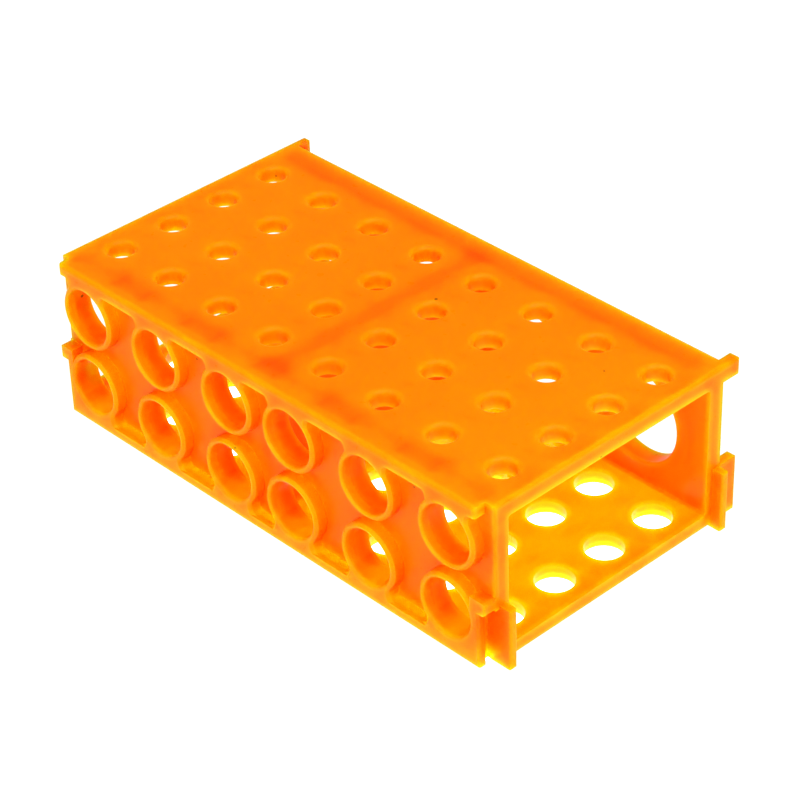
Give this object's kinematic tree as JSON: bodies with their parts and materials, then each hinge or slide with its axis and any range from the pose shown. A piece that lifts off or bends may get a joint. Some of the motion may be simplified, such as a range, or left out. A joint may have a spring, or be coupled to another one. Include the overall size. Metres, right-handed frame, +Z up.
{
  "type": "microcentrifuge tube rack",
  "caption": "Flat sleeve-like tube rack in translucent orange plastic, bored on each long face for another tube size and turned over to bring that face up.",
  "frame": {"origin": "middle of the underside, on the plane it stands on", "axes": "+X along the sleeve, towards the end with the tongues; +Y to the large-tube face; +Z up, towards the small-tube face"},
  "size_m": [0.179, 0.0984, 0.052],
  "materials": {
    "polypropylene": "moulded translucent orange polypropylene, faint satin sheen"
  },
  "bodies": {
    "root": {"tube_rack": "polypropylene"}
  },
  "joints": []
}
